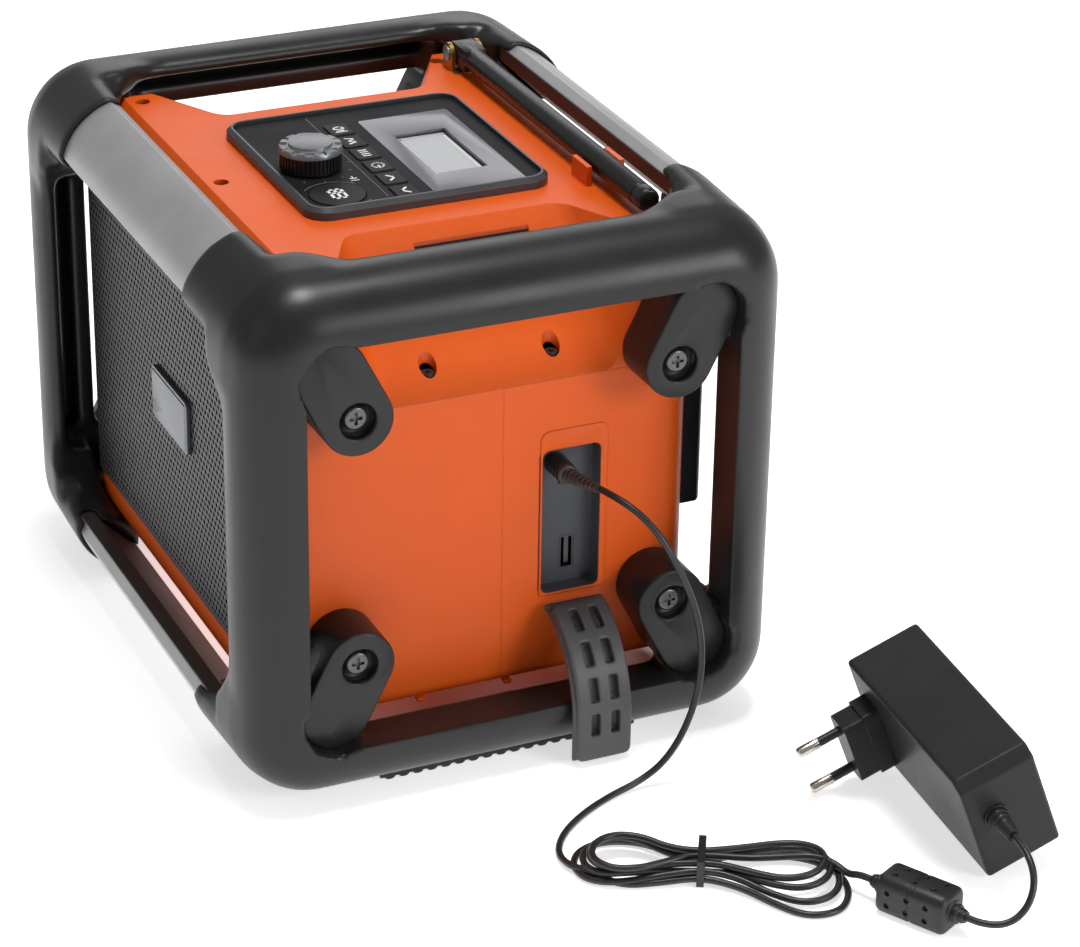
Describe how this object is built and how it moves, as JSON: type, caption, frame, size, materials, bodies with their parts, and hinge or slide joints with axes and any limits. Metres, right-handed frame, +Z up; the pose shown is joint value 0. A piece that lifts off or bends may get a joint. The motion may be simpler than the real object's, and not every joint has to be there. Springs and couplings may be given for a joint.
{
  "type": "jobsite radio",
  "caption": "Portable jobsite radio: speaker housing in a rounded crash frame with corner rails, top controls, folding rod antenna and a plug-in power supply on its cord.",
  "frame": {"origin": "bottom centre of the crash frame, on the floor it stands on", "axes": "+X from the left to the right end frame (the right one holds the sockets), -Y is the speaker side, +Z is up"},
  "size_m": [0.4251, 0.2516, 0.2021],
  "materials": {
    "frame_plastic": "satin moulded black",
    "core_plastic": "matt black",
    "rail_silver": "satin silver grey paint",
    "housing_orange": "fine textured orange",
    "grille": "matt powder coat",
    "badge": "brushed",
    "trim_plastic": "satin dark grey",
    "panel_plastic": "fine matt",
    "key_plastic": "satin black",
    "window": "clear over a grey mask",
    "lcd": "pale display",
    "steel_zinc": "zinc plated",
    "steel_black": "black oxide",
    "antenna_black": "gloss black",
    "brass": "plain",
    "rubber_black": "matt",
    "cord_black": "satin",
    "adapter_plastic": "fine spark texture",
    "nickel": "bright nickel",
    "tray_plastic": "matt black",
    "board_green": "circuit board",
    "battery_wrap": "shrink wrap",
    "cone_paper": "coated paper",
    "ferrite_magnet": "ferrite"
  },
  "bodies": {
    "radio": {"adapter_case": "adapter_plastic", "antenna_bracket": "brass", "antenna_pin": "steel_zinc", "badge_plate": "badge", "battery_pack": "battery_wrap", "control_bezel": "trim_plastic", "control_board": "board_green", "cord_hank": "cord_black", "cord_lead": "cord_black", "cord_link": "cord_black", "cord_tail": "cord_black", "cover_screws": "steel_black", "dc_plug": "cord_black", "dc_socket": "tray_plastic", "display_window": "window", "door_pins": "steel_zinc", "end_frame_left": "frame_plastic", "end_frame_right": "frame_plastic", "ferrite_bead": "adapter_plastic", "frame_screws_left": "steel_black", "frame_screws_right": "steel_black", "front_housing": "housing_orange", "keypad_panel": "panel_plastic", "lcd_module": "lcd", "main_board": "board_green", "mains_pins": "nickel", "mains_plug": "adapter_plastic", "rail_core_front_bottom": "core_plastic", "rail_core_front_top": "core_plastic", "rail_core_rear_bottom": "core_plastic", "rail_core_rear_top": "core_plastic", "rail_cover_front_bottom": "rail_silver", "rail_cover_front_top": "rail_silver", "rail_cover_rear_bottom": "rail_silver", "rail_cover_rear_top": "rail_silver", "rear_housing": "housing_orange", "rear_panel": "frame_plastic", "rotary_encoder": "steel_zinc", "socket_tray": "tray_plastic", "speaker_basket": "steel_zinc", "speaker_cone": "cone_paper", "speaker_grille": "grille", "speaker_magnet": "ferrite_magnet", "speaker_surround": "rubber_black", "top_cover": "housing_orange", "twist_tie": "cord_black", "usb_socket": "nickel"},
    "antenna": {"antenna_rod": "antenna_black"},
    "encoder_shaft": {"encoder_shaft": "steel_zinc"},
    "volume_knob": {"volume_knob": "key_plastic"},
    "mode_button": {"mode_button": "key_plastic"},
    "flap": {"port_flap": "rubber_black"},
    "battery_door": {"battery_door": "frame_plastic"},
    "key_1": {"key_1": "key_plastic"},
    "key_2": {"key_2": "key_plastic"},
    "key_3": {"key_3": "key_plastic"},
    "key_4": {"key_4": "key_plastic"},
    "key_5": {"key_5": "key_plastic"},
    "key_6": {"key_6": "key_plastic"}
  },
  "joints": [
    {"name": "antenna_fold", "type": "hinge", "parent": "radio", "child": "antenna", "pos_m": [-0.078, 0.064, 0.196], "axis": [0, -1, 0], "range_deg": [0, 90]},
    {"name": "knob_push", "type": "slide", "parent": "radio", "child": "encoder_shaft", "axis": [0, 0, -1], "range_m": [0, 0.0005], "stiffness_N_per_m": 3000},
    {"name": "knob_turn", "type": "hinge", "parent": "encoder_shaft", "child": "volume_knob", "pos_m": [0.0065, -0.032, 0.1935], "axis": [0, 0, 1], "continuous": true},
    {"name": "mode_button_press", "type": "slide", "parent": "radio", "child": "mode_button", "axis": [0, 0, -1], "range_m": [0, 0.0008], "stiffness_N_per_m": 600},
    {"name": "flap_swing", "type": "hinge", "parent": "radio", "child": "flap", "pos_m": [0.1063, 0.0287, 0.054], "axis": [0, -1, 0], "range_deg": [0, 80]},
    {"name": "battery_door_open", "type": "hinge", "parent": "radio", "child": "battery_door", "pos_m": [0, 0.0816, 0.087], "axis": [-1, 0, 0], "range_deg": [0, 90]},
    {"name": "key_1_press", "type": "slide", "parent": "radio", "child": "key_1", "axis": [0, 0, -1], "range_m": [0, 0.0008], "stiffness_N_per_m": 300},
    {"name": "key_2_press", "type": "slide", "parent": "radio", "child": "key_2", "axis": [0, 0, -1], "range_m": [0, 0.0008], "stiffness_N_per_m": 300},
    {"name": "key_3_press", "type": "slide", "parent": "radio", "child": "key_3", "axis": [0, 0, -1], "range_m": [0, 0.0008], "stiffness_N_per_m": 300},
    {"name": "key_4_press", "type": "slide", "parent": "radio", "child": "key_4", "axis": [0, 0, -1], "range_m": [0, 0.0008], "stiffness_N_per_m": 300},
    {"name": "key_5_press", "type": "slide", "parent": "radio", "child": "key_5", "axis": [0, 0, -1], "range_m": [0, 0.0008], "stiffness_N_per_m": 300},
    {"name": "key_6_press", "type": "slide", "parent": "radio", "child": "key_6", "axis": [0, 0, -1], "range_m": [0, 0.0008], "stiffness_N_per_m": 300}
  ]
}
